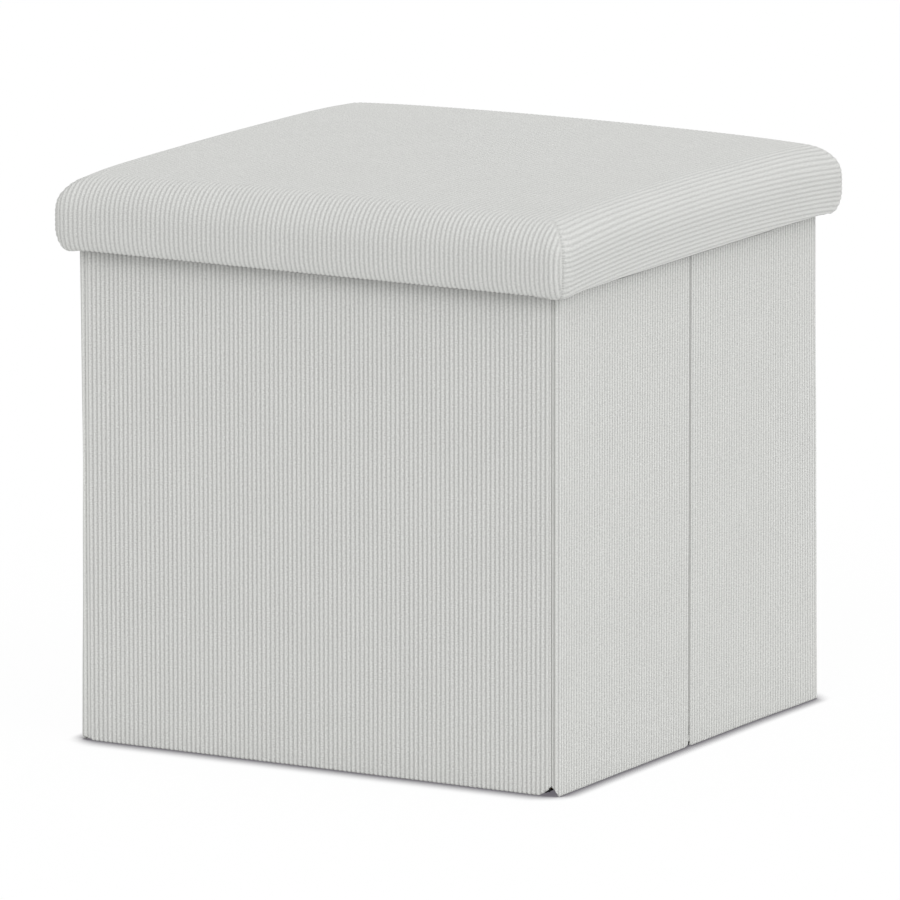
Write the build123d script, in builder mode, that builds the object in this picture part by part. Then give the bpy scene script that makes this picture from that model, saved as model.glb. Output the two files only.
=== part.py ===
import os

from build123d import *

# Folding storage ottoman: a padded lift-off lid, a ring of six padded wall panels that folds
# inward along sewn seams, and a loose base board.
# Millimetres, +Z up, front at -Y, origin at the middle of the footprint on the floor.

# Box
box_width = 356.0  # over the covers, left to right
box_depth = 352.0  # over the covers, front to rear
wall_height = 346.0

# Layers of a wall panel, from the outside in
cover_thickness = 1.8  # corduroy with its thin wadding
board_thickness = 3.5
lining_thickness = 0.7
board_corner_rounding = 6.0

# Edges of a wall panel
butt_gap = 0.6  # between an end of the front or rear wall and the side wall it butts against
butt_rounding = 1.5  # upright outer edge of such an end
butt_foot_rounding = 6.0  # lower corner of such an end, seen from outside
end_recess = 2.0  # how far the ends of the side walls stand back from the front and rear faces
end_rounding = 2.5
end_foot_rounding = 2.5
fold_gap = 1.0  # between the two halves of a side
fold_rounding = 1.5
fold_foot_rounding = 4.0
lining_margin = 2.0  # turned-in cover left showing round a lining

# Sewn seams that the walls fold on
seam_radius = 0.7
seam_clearance = 0.3
seam_flap = 0.5
seam_flap_width = 15.0
fold_flap = 0.4
fold_flap_width = 5.0
seam_end_margin = 8.0

# Base
base_board_thickness = 2.5
base_cloth_thickness = 0.5
base_side_clearance = 8.0
base_end_clearance = 4.0

# Lid
lid_skirt = 20.0  # how far the lid reaches down over the walls
lid_skirt_clearance = 3.5  # between the walls and the lid's hem
lid_rest_clearance = 0.3  # between the lid's lining and the top of the walls
lid_cover_thickness = 3.0
lid_board_thickness = 5.0
lid_side_rail_thickness = 4.3
lid_end_rail_thickness = 6.3
lid_foam_height = 25.0  # at the middle of the lid
lid_crown_radius = 4200.0
lid_crown_allowance = 10.0  # extra height that the crown cuts away
lid_top_rounding = 16.0  # upper edges, carried on down the upright corners
lid_edge_rounding = 5.5
lid_hem_thickness = 1.2
lid_hem_height = 13.0
lid_lining_thickness = 0.8

# Staples that hold the lid's hem to its rails
staples_per_rail = 6
staple_width = 10.0
staple_wire = 0.6
staple_wire_height = 1.2
staple_leg = 4.0
staple_drop = 4.0  # below the top of the hem

# Sizes and levels that follow
wall_thickness = cover_thickness + board_thickness + lining_thickness
half_width = box_width / 2
half_depth = box_depth / 2
inner_half_width = half_width - wall_thickness
inner_half_depth = half_depth - wall_thickness

inside_width = box_width + 2 * (lid_skirt_clearance + lid_hem_thickness)
inside_depth = box_depth + 2 * (lid_skirt_clearance + lid_hem_thickness)
frame_width = inside_width + 2 * lid_side_rail_thickness
frame_depth = inside_depth + 2 * lid_end_rail_thickness
lid_width = frame_width + 2 * lid_cover_thickness
lid_depth = frame_depth + 2 * lid_cover_thickness
frame_corner_rounding = lid_top_rounding - lid_cover_thickness
lid_bottom = wall_height - lid_skirt
hem_top = lid_bottom + lid_hem_height
rail_bottom = lid_bottom + lid_cover_thickness
lid_board_bottom = wall_height + lid_rest_clearance + lid_lining_thickness
lid_foam_bottom = lid_board_bottom + lid_board_thickness
lid_foam_top = lid_foam_bottom + lid_foam_height
lid_top = lid_foam_top + lid_cover_thickness

os.makedirs("parts", exist_ok=True)


def save(piece, name):
    piece.part.label = name
    export_step(piece.part, f"parts/{name}.step")


# Wall panels
# Each wall has a plan plane, with x along the wall and y inward from its outer face.
up = (0, 0, 1)
front_plan = Plane(origin=(0, -half_depth, 0), x_dir=(1, 0, 0), z_dir=up)
rear_plan = Plane(origin=(0, half_depth, 0), x_dir=(-1, 0, 0), z_dir=up)
right_plan = Plane(origin=(half_width, 0, 0), x_dir=(0, 1, 0), z_dir=up)
left_plan = Plane(origin=(-half_width, 0, 0), x_dir=(0, -1, 0), z_dir=up)

# The front and rear walls butt against the side walls, whose ends show at the front and rear.
butt = {"rounding": butt_rounding, "foot": butt_foot_rounding, "lining_inset": lining_margin}
end = {"rounding": end_rounding, "foot": end_foot_rounding, "lining_inset": wall_thickness + lining_margin}
fold = {"rounding": fold_rounding, "foot": fold_foot_rounding, "lining_inset": lining_margin}

wide_end = inner_half_width - butt_gap
deep_end = half_depth - end_recess
fold_end = fold_gap / 2

panels = {
    "front_wall": (front_plan, -wide_end, butt, wide_end, butt),
    "rear_wall": (rear_plan, -wide_end, butt, wide_end, butt),
    "right_front_wall": (right_plan, -deep_end, end, -fold_end, fold),
    "right_rear_wall": (right_plan, fold_end, fold, deep_end, end),
    "left_rear_wall": (left_plan, -deep_end, end, -fold_end, fold),
    "left_front_wall": (left_plan, fold_end, fold, deep_end, end),
}

for panel_name, (plan, first, first_kind, last, last_kind) in panels.items():
    elevation = Plane(origin=plan.origin, x_dir=plan.x_dir, z_dir=-plan.y_dir)
    board_depth = cover_thickness + board_thickness

    board_first = first + cover_thickness
    board_last = last - cover_thickness
    with BuildPart() as board:
        with BuildSketch(elevation.offset(-cover_thickness)):
            with Locations(((board_first + board_last) / 2, wall_height / 2)):
                RectangleRounded(
                    board_last - board_first, wall_height - 2 * cover_thickness, board_corner_rounding
                )
        extrude(amount=-board_thickness)

    lining_first = first + first_kind["lining_inset"]
    lining_last = last - last_kind["lining_inset"]
    with BuildPart() as lining:
        with BuildSketch(elevation.offset(-board_depth)):
            with Locations(((lining_first + lining_last) / 2, wall_height / 2)):
                Rectangle(lining_last - lining_first, wall_height - 2 * lining_margin)
        extrude(amount=-lining_thickness)

    with BuildPart() as cover:
        with BuildSketch(plan):
            with Locations(((first + last) / 2, wall_thickness / 2)):
                Rectangle(last - first, wall_thickness)
            fillet(vertices().sort_by_distance((first, 0))[0], first_kind["rounding"])
            fillet(vertices().sort_by_distance((last, 0))[0], last_kind["rounding"])
        extrude(amount=wall_height)
        with BuildSketch(elevation):
            with Locations(((first + last) / 2, wall_height / 2)):
                Rectangle(last - first, wall_height)
            fillet(vertices().sort_by_distance((first, 0))[0], first_kind["foot"])
            fillet(vertices().sort_by_distance((last, 0))[0], last_kind["foot"])
        extrude(amount=-wall_thickness, mode=Mode.INTERSECT)
        add(board.part, mode=Mode.SUBTRACT)
        add(lining.part, mode=Mode.SUBTRACT)

    save(cover, f"{panel_name}_cover")
    save(board, f"{panel_name}_board")
    save(lining, f"{panel_name}_lining")

# Seams at the corners: a sewn bead on the fold line inside the box, with a flap on the lining
# of the front or rear wall.
seam_height = wall_height - 2 * seam_end_margin
seam_inset = seam_radius + seam_clearance
corner_fold_x = inner_half_width - seam_inset
corner_fold_y = inner_half_depth - seam_inset

corner_seams = {
    "front_right_seam": (1, -1),
    "front_left_seam": (-1, -1),
    "rear_right_seam": (1, 1),
    "rear_left_seam": (-1, 1),
}

for seam_name, (x_side, y_side) in corner_seams.items():
    with BuildPart() as corner_seam:
        with BuildSketch(Plane.XY.offset(seam_end_margin)):
            with Locations((x_side * corner_fold_x, y_side * corner_fold_y)):
                Circle(seam_radius)
            flap_x = corner_fold_x - seam_flap_width / 2
            flap_y = inner_half_depth - seam_flap / 2
            with Locations((x_side * flap_x, y_side * flap_y)):
                Rectangle(seam_flap_width, seam_flap)
        extrude(amount=seam_height)
    save(corner_seam, seam_name)

# Seams at the middle of the sides: a bead on the fold line in the outer face, with a flap on
# the end of the rear half.
for seam_name, x_side in {"right_mid_seam": 1, "left_mid_seam": -1}.items():
    with BuildPart() as mid_seam:
        with BuildSketch(Plane.XY.offset(seam_end_margin)):
            with Locations((x_side * half_width, 0)):
                Circle(seam_radius)
            flap_x = half_width - fold_flap_width / 2
            flap_y = fold_end - fold_flap / 2
            with Locations((x_side * flap_x, flap_y)):
                Rectangle(fold_flap_width, fold_flap)
        extrude(amount=seam_height)
    save(mid_seam, seam_name)

# Base: a board in a cloth sleeve, loose inside the walls
base_width = 2 * (inner_half_width - base_side_clearance)
base_depth = 2 * (inner_half_depth - base_end_clearance)
base_board_width = base_width - 2 * base_cloth_thickness
base_board_depth = base_depth - 2 * base_cloth_thickness

with BuildPart() as base_cloth_underside:
    with BuildSketch():
        Rectangle(base_width, base_depth)
    extrude(amount=base_cloth_thickness)
save(base_cloth_underside, "base_cloth_underside")

with BuildPart() as base_board:
    with BuildSketch(Plane.XY.offset(base_cloth_thickness)):
        Rectangle(base_board_width, base_board_depth)
    extrude(amount=base_board_thickness)
save(base_board, "base_board")

with BuildPart() as base_cloth_top:
    with BuildSketch(Plane.XY.offset(base_cloth_thickness)):
        Rectangle(base_width, base_depth)
    extrude(amount=base_board_thickness + base_cloth_thickness)
    add(base_board.part, mode=Mode.SUBTRACT)
save(base_cloth_top, "base_cloth_top")

# Lid frame: a board with four rails under its edges
with BuildPart() as lid_board:
    with BuildSketch(Plane.XY.offset(lid_board_bottom)):
        RectangleRounded(frame_width, frame_depth, frame_corner_rounding)
    extrude(amount=lid_board_thickness)
save(lid_board, "lid_board")

rail_height = lid_board_bottom - rail_bottom
rail_x = (frame_width - lid_side_rail_thickness) / 2
rail_y = (frame_depth - lid_end_rail_thickness) / 2
rails = {
    "lid_front_rail": (0, -rail_y, frame_width, lid_end_rail_thickness),
    "lid_rear_rail": (0, rail_y, frame_width, lid_end_rail_thickness),
    "lid_left_rail": (-rail_x, 0, lid_side_rail_thickness, inside_depth),
    "lid_right_rail": (rail_x, 0, lid_side_rail_thickness, inside_depth),
}

# Staples: one row on the inside of each rail, driven outward through the hem. A rail face has
# x along the rail, y up and z towards the middle of the lid.
staple_level = hem_top - staple_drop
rail_faces = (
    (Plane(origin=(0, -inside_depth / 2, 0), x_dir=(-1, 0, 0), z_dir=(0, 1, 0)), inside_width),
    (Plane(origin=(0, inside_depth / 2, 0), x_dir=(1, 0, 0), z_dir=(0, -1, 0)), inside_width),
    (Plane(origin=(-inside_width / 2, 0, 0), x_dir=(0, 1, 0), z_dir=(1, 0, 0)), inside_depth),
    (Plane(origin=(inside_width / 2, 0, 0), x_dir=(0, -1, 0), z_dir=(-1, 0, 0)), inside_depth),
)
with BuildPart() as lid_staples:
    for rail_face, rail_run in rail_faces:
        hem_face = rail_face.offset(lid_hem_thickness)
        staple_pitch = rail_run / staples_per_rail
        with BuildSketch(hem_face):
            with Locations((0, staple_level)):
                with GridLocations(staple_pitch, 1, staples_per_rail, 1):
                    Rectangle(staple_width, staple_wire_height)
        extrude(amount=staple_wire)
        with BuildSketch(hem_face):
            for side in (-1, 1):
                with Locations((side * (staple_width - staple_wire) / 2, staple_level)):
                    with GridLocations(staple_pitch, 1, staples_per_rail, 1):
                        Rectangle(staple_wire, staple_wire_height)
        extrude(amount=-staple_leg)
save(lid_staples, "lid_staples")

rail_parts = []
for rail_name, (x, y, x_size, y_size) in rails.items():
    with BuildPart() as rail:
        with BuildSketch(Plane.XY.offset(rail_bottom)):
            with Locations((x, y)):
                Rectangle(x_size, y_size)
            RectangleRounded(frame_width, frame_depth, frame_corner_rounding, mode=Mode.INTERSECT)
        extrude(amount=rail_height)
        add(lid_staples.part, mode=Mode.SUBTRACT)
    save(rail, rail_name)
    rail_parts.append(rail.part)

# Lid padding: both the foam and the cover over it are crowned, with rounded upper edges. The
# rounding of the second pair of edges carries on down the upright corners.
def round_top_edges(radius):
    for across in (Axis.X, Axis.Y):
        top_edges = faces().sort_by(Axis.Z)[-1].edges().sort_by(across)
        fillet((top_edges[0], top_edges[-1]), radius)


foam_crown_radius = lid_crown_radius - lid_cover_thickness
with BuildPart() as lid_foam:
    with BuildSketch(Plane.XY.offset(rail_bottom)):
        Rectangle(frame_width, frame_depth)
    extrude(amount=lid_foam_top - rail_bottom + lid_crown_allowance)
    with Locations((0, 0, lid_foam_top - foam_crown_radius)):
        Sphere(foam_crown_radius, rotation=(0, 90, 0), mode=Mode.INTERSECT)
    round_top_edges(frame_corner_rounding)
    split(bisect_by=Plane.XY.offset(lid_foam_bottom), keep=Keep.TOP)
save(lid_foam, "lid_foam")

# Lid lining: a tray under the board, turned down the rails as far as the hem
with BuildPart() as lid_lining:
    with BuildSketch(Plane.XY.offset(hem_top)):
        Rectangle(inside_width, inside_depth)
    extrude(amount=lid_board_bottom - hem_top)
    with BuildSketch(Plane.XY.offset(hem_top)):
        Rectangle(inside_width - 2 * lid_lining_thickness, inside_depth - 2 * lid_lining_thickness)
    extrude(amount=lid_board_bottom - lid_lining_thickness - hem_top, mode=Mode.SUBTRACT)
save(lid_lining, "lid_lining")

# Lid cover: from the crown down the sides, under the rails and up inside them as a hem
with BuildPart() as lid_cover:
    with BuildSketch(Plane.XY.offset(lid_bottom)):
        Rectangle(lid_width, lid_depth)
    extrude(amount=lid_top - lid_bottom + lid_crown_allowance)
    with Locations((0, 0, lid_top - lid_crown_radius)):
        Sphere(lid_crown_radius, rotation=(0, 90, 0), mode=Mode.INTERSECT)
    round_top_edges(lid_top_rounding)
    fillet(faces().sort_by(Axis.Z)[0].edges(), lid_edge_rounding)
    with BuildSketch(Plane.XY.offset(lid_bottom)):
        Rectangle(inside_width - 2 * lid_hem_thickness, inside_depth - 2 * lid_hem_thickness)
    extrude(amount=lid_hem_height, mode=Mode.SUBTRACT)
    with BuildSketch(Plane.XY.offset(hem_top)):
        Rectangle(inside_width, inside_depth)
    extrude(amount=lid_board_bottom - hem_top, mode=Mode.SUBTRACT)
    add(lid_foam.part, mode=Mode.SUBTRACT)
    add(lid_board.part, mode=Mode.SUBTRACT)
    for rail_part in rail_parts:
        add(rail_part, mode=Mode.SUBTRACT)
    add(lid_staples.part, mode=Mode.SUBTRACT)
save(lid_cover, "lid_cover")
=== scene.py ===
import math

import bpy
import numpy as np
from mathutils import Matrix, Vector, noise


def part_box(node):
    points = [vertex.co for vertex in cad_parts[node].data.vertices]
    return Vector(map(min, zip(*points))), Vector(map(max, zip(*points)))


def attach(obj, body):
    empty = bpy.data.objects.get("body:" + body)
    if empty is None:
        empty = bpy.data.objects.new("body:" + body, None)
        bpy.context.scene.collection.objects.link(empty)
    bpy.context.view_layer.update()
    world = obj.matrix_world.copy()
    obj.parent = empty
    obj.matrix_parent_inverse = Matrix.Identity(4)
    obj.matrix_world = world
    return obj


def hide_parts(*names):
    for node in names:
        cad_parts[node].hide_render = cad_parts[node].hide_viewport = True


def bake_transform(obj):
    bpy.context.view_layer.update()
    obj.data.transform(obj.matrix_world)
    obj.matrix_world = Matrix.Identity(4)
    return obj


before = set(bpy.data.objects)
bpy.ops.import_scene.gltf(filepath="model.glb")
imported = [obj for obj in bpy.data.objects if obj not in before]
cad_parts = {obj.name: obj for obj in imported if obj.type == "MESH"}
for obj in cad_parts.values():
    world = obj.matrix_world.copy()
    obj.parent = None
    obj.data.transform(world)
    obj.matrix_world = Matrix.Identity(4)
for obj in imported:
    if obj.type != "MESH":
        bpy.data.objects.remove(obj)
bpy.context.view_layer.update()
print("frame loaded,", len(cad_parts), "nodes")


# Small helpers

def linear(hexColour):  # sRGB hex to linear colour
    channels = [int(hexColour[i:i + 2], 16) / 255 for i in (0, 2, 4)]
    return [c / 12.92 if c <= 0.04045 else ((c + 0.055) / 1.055) ** 2.4 for c in channels] + [1.0]


def addNode(tree, kind, settings=None, links=None):  # a node with its settings and what goes into it
    node = tree.nodes.new(kind)
    for key, value in (settings or {}).items():
        if isinstance(key, int) or key in node.inputs:
            node.inputs[key].default_value = value
        else:
            setattr(node, key, value)
    for key, socket in (links or {}).items():
        tree.links.new(socket, node.inputs[key])
    return node


def newMaterial(name):
    material = bpy.data.materials.new(name)
    material.use_nodes = True
    material.node_tree.nodes.clear()
    return material, material.node_tree


def setMaterial(piece, material):
    piece.data.materials.clear()
    piece.data.materials.append(material)


def selectOnly(piece):
    bpy.ops.object.select_all(action="DESELECT")
    piece.select_set(True)
    bpy.context.view_layer.objects.active = piece


def addGrid(name, columns, rows):  # a flat grid, with the column and row of each of its points
    bpy.ops.object.select_all(action="DESELECT")
    bpy.ops.mesh.primitive_grid_add(x_subdivisions=columns - 1, y_subdivisions=rows - 1, size=2)
    piece = bpy.context.active_object
    piece.name = name
    piece.data.name = name
    places = np.empty(len(piece.data.vertices) * 3)
    piece.data.vertices.foreach_get("co", places)
    places = places.reshape(-1, 3)
    column = np.rint((places[:, 0] + 1) / 2 * (columns - 1)).astype(int)
    row = np.rint((places[:, 1] + 1) / 2 * (rows - 1)).astype(int)
    return piece, column, row


def placePoints(piece, places):  # places in millimetres
    piece.data.vertices.foreach_set("co", (np.asarray(places) / 1000).ravel())
    piece.data.update()


def keepCordPlace(piece, across, along, crown):  # where a point is on the cloth, and how high on its cord
    attribute = piece.data.attributes.new("cordPlace", "FLOAT_VECTOR", "POINT")
    attribute.data.foreach_set("vector", np.stack([across / 1000, along / 1000, crown], 1).ravel())


def closeUp(piece, merge=0.00002, fill=True):  # weld the rim, fill what is open, turn faces outwards
    selectOnly(piece)
    bpy.ops.object.mode_set(mode="EDIT")
    bpy.ops.mesh.select_all(action="SELECT")
    bpy.ops.mesh.remove_doubles(threshold=merge)
    if fill:
        bpy.ops.mesh.fill_holes(sides=0)
    bpy.ops.mesh.select_all(action="SELECT")
    bpy.ops.mesh.normals_make_consistent(inside=False)
    bpy.ops.object.mode_set(mode="OBJECT")
    bpy.ops.object.shade_smooth_by_angle(angle=math.radians(60))


def thicken(piece, thickness):  # to both sides of the sheet
    selectOnly(piece)
    solidify = piece.modifiers.new("thickness", "SOLIDIFY")
    solidify.thickness = thickness / 1000
    solidify.offset = 0.0
    bpy.ops.object.modifier_apply(modifier=solidify.name)


def slowNoise(x, y, scale, seed):  # smooth noise over a length in millimetres, about -1 to 1
    x, y = np.broadcast_arrays(np.asarray(x, float) / scale, np.asarray(y, float) / scale)
    layer = seed * 7.31  # each seed has its own layer of the noise
    values = [noise.noise(Vector((a, b, layer))) for a, b in zip(x.ravel(), y.ravel())]
    return np.array(values).reshape(x.shape)


def rising(value, start, over):  # 0 up to the start, then up to 1
    return np.clip((value - start) / over, 0, 1)


def falling(value, start, over):  # 1 up to the start, then down to 0
    return np.clip((start + over - value) / over, 0, 1)


# Finishes

corduroyFinish = {
    # Painted light: walls and lid are one cloth; the walls get lighter colours to make up for the light that
    # upright faces lack.
    "wallCord": "e6e7e4", "wallGroove": "b7b7b5",
    "lidCord": "e0e1de", "lidGroove": "b5b5b3",
    "rimShadeColour": "303033",  # painted shade: a dark strip on the underside of the lid's rim, for the shade under the lid
    "rowSpacing": 0.0008, "rowLength": 0.0009,  # crosswise pile rows, coarser than real so that they show
    "pileSize": 0.0011,
    "mottleScale": 24.0,  # patches to a metre
    "cordShare": 0.62, "pileShare": 0.4, "rowShare": 1.4, "mottleShare": 0.08,
    "levels": (-2.5, 1.0),  # lowest and highest level of the pile that have a colour
    "cordLevel": 0.85, "grooveLevel": 0.0, "grooveEnd": -0.9, "shadeStripLevel": -1.2,
}


def makeCorduroy(name, cordColour, grooveColour):
    # Cotton corduroy: cut pile in soft round cords, matt, lighter along the cord tops and darker in the
    # furrows (partly painted shade), with fine crosswise rows where the pile is tied in and a faint fuzz at
    # grazing angles.
    material, tree = newMaterial(name)
    place = addNode(tree, "ShaderNodeAttribute", {"attribute_name": "cordPlace"})
    parts = addNode(tree, "ShaderNodeSeparateXYZ", links={0: place.outputs["Vector"]})
    across = addNode(tree, "ShaderNodeCombineXYZ", links={"X": parts.outputs["X"], "Y": parts.outputs["Y"]})
    pile = addNode(tree, "ShaderNodeTexNoise",
                   {"Scale": 1 / corduroyFinish["pileSize"], "Detail": 2.0, "Roughness": 0.6},
                   {"Vector": across.outputs[0]})
    stretched = addNode(tree, "ShaderNodeMapping",
                        {"Scale": (1 / corduroyFinish["rowLength"], 1 / corduroyFinish["rowSpacing"], 1)},
                        {"Vector": across.outputs[0]})
    rows = addNode(tree, "ShaderNodeTexNoise", {"Scale": 1.0, "Detail": 1.0, "Roughness": 0.5},
                   {"Vector": stretched.outputs[0]})
    mottle = addNode(tree, "ShaderNodeTexNoise",
                     {"Scale": corduroyFinish["mottleScale"], "Detail": 3.0, "Roughness": 0.55},
                     {"Vector": across.outputs[0]})
    level = addNode(tree, "ShaderNodeMath", {"operation": "MULTIPLY", 1: corduroyFinish["cordShare"]},
                    {0: parts.outputs["Z"]})
    for pattern, share in ((pile, "pileShare"), (rows, "rowShare"), (mottle, "mottleShare")):
        middle = addNode(tree, "ShaderNodeMath", {"operation": "SUBTRACT", 1: 0.5},
                         {0: pattern.outputs["Fac"]})
        level = addNode(tree, "ShaderNodeMath", {"operation": "MULTIPLY_ADD", 1: corduroyFinish[share]},
                        {0: middle.outputs[0], 2: level.outputs[0]})

    low, high = corduroyFinish["levels"]
    shade = addNode(tree, "ShaderNodeMapRange", {"From Min": low, "From Max": high},
                    {"Value": level.outputs[0]})
    tone = addNode(tree, "ShaderNodeValToRGB", links={0: shade.outputs[0]})
    stops = tone.color_ramp.elements
    stops[0].position = (corduroyFinish["grooveLevel"] - low) / (high - low)
    stops[0].color = linear(grooveColour)
    stops[1].position = (corduroyFinish["cordLevel"] - low) / (high - low)
    stops[1].color = linear(cordColour)
    grooveEnd = (corduroyFinish["grooveEnd"] - low) / (high - low)
    shadeStripStart = (corduroyFinish["shadeStripLevel"] - low) / (high - low)  # far below any furrow, for the painted shade under the lid's rim
    stops.new(grooveEnd).color = linear(grooveColour)
    stops.new(shadeStripStart).color = linear(corduroyFinish["rimShadeColour"])

    fuzz = addNode(tree, "ShaderNodeMath", {"operation": "MULTIPLY_ADD", 1: 0.7},
                   {0: rows.outputs["Fac"], 2: pile.outputs["Fac"]})
    bump = addNode(tree, "ShaderNodeBump", {"Strength": 0.4, "Distance": 0.0004},
                   {"Height": fuzz.outputs[0]})
    cloth = addNode(tree, "ShaderNodeBsdfPrincipled",
                    {"Roughness": 0.95, "IOR": 1.45, "Specular IOR Level": 0.2, "Sheen Weight": 0.12,
                     "Sheen Roughness": 0.6},
                    {"Base Color": tone.outputs["Color"], "Normal": bump.outputs[0]})
    addNode(tree, "ShaderNodeOutputMaterial", links={"Surface": cloth.outputs[0]})
    return material


nonWovenFinish = {"dotSpacing": 0.0022, "fibreSize": 0.0008, "pressed": "19191b", "raised": "303033"}


def makeNonWoven(name):
    # Non-woven polypropylene: a black felt of melted fibres, matt, with a grid of small pressed dots.
    material, tree = newMaterial(name)
    place = addNode(tree, "ShaderNodeTexCoord")
    dots = addNode(tree, "ShaderNodeTexVoronoi",
                   {"Scale": 1 / nonWovenFinish["dotSpacing"], "Randomness": 0.25},
                   {"Vector": place.outputs["Object"]})
    fibres = addNode(tree, "ShaderNodeTexNoise", {"Scale": 1 / nonWovenFinish["fibreSize"], "Detail": 3.0},
                     {"Vector": place.outputs["Object"]})
    pressed = addNode(tree, "ShaderNodeMapRange", {"From Min": 0.1, "From Max": 0.45},
                      {"Value": dots.outputs["Distance"]})
    level = addNode(tree, "ShaderNodeMath", {"operation": "MULTIPLY_ADD", 1: 0.5},
                    {0: fibres.outputs[0], 2: pressed.outputs[0]})
    tone = addNode(tree, "ShaderNodeValToRGB", links={0: level.outputs[0]})
    tone.color_ramp.elements[0].color = linear(nonWovenFinish["pressed"])
    tone.color_ramp.elements[1].color = linear(nonWovenFinish["raised"])
    bump = addNode(tree, "ShaderNodeBump", {"Strength": 0.4, "Distance": 0.0004},
                   {"Height": level.outputs[0]})
    felt = addNode(tree, "ShaderNodeBsdfPrincipled", {"Roughness": 0.8, "IOR": 1.49, "Sheen Weight": 0.1},
                   {"Base Color": tone.outputs["Color"], "Normal": bump.outputs[0]})
    addNode(tree, "ShaderNodeOutputMaterial", links={"Surface": felt.outputs[0]})
    return material


boardFinish = {
    "fleckSize": 0.0015, "fleckRange": (0.3, 0.7),
    "wall": ("b1936b", "9c7f59"), "lid": ("b89f79", "a3895f"),  # light and dark
}


def makeHardboard(name, light, dark):
    # Medium-density fibreboard: pressed wood dust, even and matt, with faint darker flecks.
    material, tree = newMaterial(name)
    place = addNode(tree, "ShaderNodeTexCoord")
    fleck = addNode(tree, "ShaderNodeTexNoise",
                    {"Scale": 1 / boardFinish["fleckSize"], "Detail": 4.0, "Roughness": 0.7},
                    {"Vector": place.outputs["Object"]})
    tone = addNode(tree, "ShaderNodeValToRGB", links={0: fleck.outputs[0]})
    stops = tone.color_ramp.elements
    stops[0].position, stops[1].position = boardFinish["fleckRange"]
    stops[0].color = linear(dark)
    stops[1].color = linear(light)
    bump = addNode(tree, "ShaderNodeBump", {"Strength": 0.2, "Distance": 0.0002},
                   {"Height": fleck.outputs[0]})
    board = addNode(tree, "ShaderNodeBsdfPrincipled", {"Roughness": 0.75, "IOR": 1.5},
                    {"Base Color": tone.outputs["Color"], "Normal": bump.outputs[0]})
    addNode(tree, "ShaderNodeOutputMaterial", links={"Surface": board.outputs[0]})
    return material


foamFinish = {"cellSize": 0.0012, "hollow": "c9c1a8", "wall": "efe9d6"}


def makeFoam(name):
    # Cut polyurethane foam: cream, with open cells about a millimetre wide, darker in the middle of each
    # cell as painted shade.
    material, tree = newMaterial(name)
    place = addNode(tree, "ShaderNodeTexCoord")
    cells = addNode(tree, "ShaderNodeTexVoronoi", {"Scale": 1 / foamFinish["cellSize"]},
                    {"Vector": place.outputs["Object"]})
    tone = addNode(tree, "ShaderNodeValToRGB", links={0: cells.outputs["Distance"]})
    tone.color_ramp.elements[0].color = linear(foamFinish["hollow"])
    tone.color_ramp.elements[1].color = linear(foamFinish["wall"])
    bump = addNode(tree, "ShaderNodeBump", {"Strength": 0.5, "Distance": 0.0005},
                   {"Height": cells.outputs["Distance"]})
    foam = addNode(tree, "ShaderNodeBsdfPrincipled", {"Roughness": 0.9, "IOR": 1.45},
                   {"Base Color": tone.outputs["Color"], "Normal": bump.outputs[0]})
    addNode(tree, "ShaderNodeOutputMaterial", links={"Surface": foam.outputs[0]})
    return material


stapleFinish = {"zincSize": 0.003, "dull": "9da1a6", "bright": "c6c9cd"}


def makeStapleSteel(name):
    # Galvanised steel wire: dull grey metal with a faint mottled zinc skin.
    material, tree = newMaterial(name)
    place = addNode(tree, "ShaderNodeTexCoord")
    zinc = addNode(tree, "ShaderNodeTexNoise", {"Scale": 1 / stapleFinish["zincSize"], "Detail": 3.0},
                   {"Vector": place.outputs["Object"]})
    tone = addNode(tree, "ShaderNodeValToRGB", links={0: zinc.outputs[0]})
    tone.color_ramp.elements[0].color = linear(stapleFinish["dull"])
    tone.color_ramp.elements[1].color = linear(stapleFinish["bright"])
    rough = addNode(tree, "ShaderNodeMapRange", {"To Min": 0.3, "To Max": 0.55}, {"Value": zinc.outputs[0]})
    steel = addNode(tree, "ShaderNodeBsdfPrincipled", {"Metallic": 1.0},
                    {"Base Color": tone.outputs["Color"], "Roughness": rough.outputs[0]})
    addNode(tree, "ShaderNodeOutputMaterial", links={"Surface": steel.outputs[0]})
    return material


wallCorduroy = makeCorduroy("corduroy_cut_pile_walls",
                            corduroyFinish["wallCord"], corduroyFinish["wallGroove"])
lidCorduroy = makeCorduroy("corduroy_cut_pile_lid", corduroyFinish["lidCord"], corduroyFinish["lidGroove"])
nonWoven = makeNonWoven("non_woven_polypropylene_black")
hardboard = makeHardboard("fibreboard_raw", *boardFinish["wall"])
frameBoard = makeHardboard("fibreboard_lid_frame", *boardFinish["lid"])
foamCream = makeFoam("polyurethane_foam_cut")
stapleSteel = makeStapleSteel("galvanised_steel_wire")
print("finishes made")


# Walls: one corduroy cover round each panel, sizes in mm

walls = {
    "halfWidth": 178.0, "halfDepth": 176.0, "height": 346.0, "thickness": 6.0,
    "cordPitch": 3.33, "cordHeight": 0.8, "cordPoints": 6, "endCords": 2,
    "cordFullness": 0.5,  # lower makes the cords fuller and the furrows narrower
    "edgeRoll": 1.6, "rollTurns": (0, 22, 45, 68), "rowSpacing": 13.0,
    "insideInset": 0.4, "insidePoints": 12, "liningRoom": 0.75,  # smooth inner face, under the lining
    "liftCurve": 1.3, "liftHeight": 34.0,  # how a tucked lower corner dies out along the foot and upwards
    "endLean": 0.85, "endFlat": 1.0, "endWithin": 0.5,  # end strips of the side walls lean in
    "wobble": 0.22, "wobbleLengths": (180 / 7, 62.5), "wobbleHeight": 61.0,
    "swell": 0.18, "swellLength": 55.0, "bowLength": 60.0,
    "patternShift": 400.0, "lap": 2.0,  # each panel is cut from another part of the cloth, and lapped
}
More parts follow.
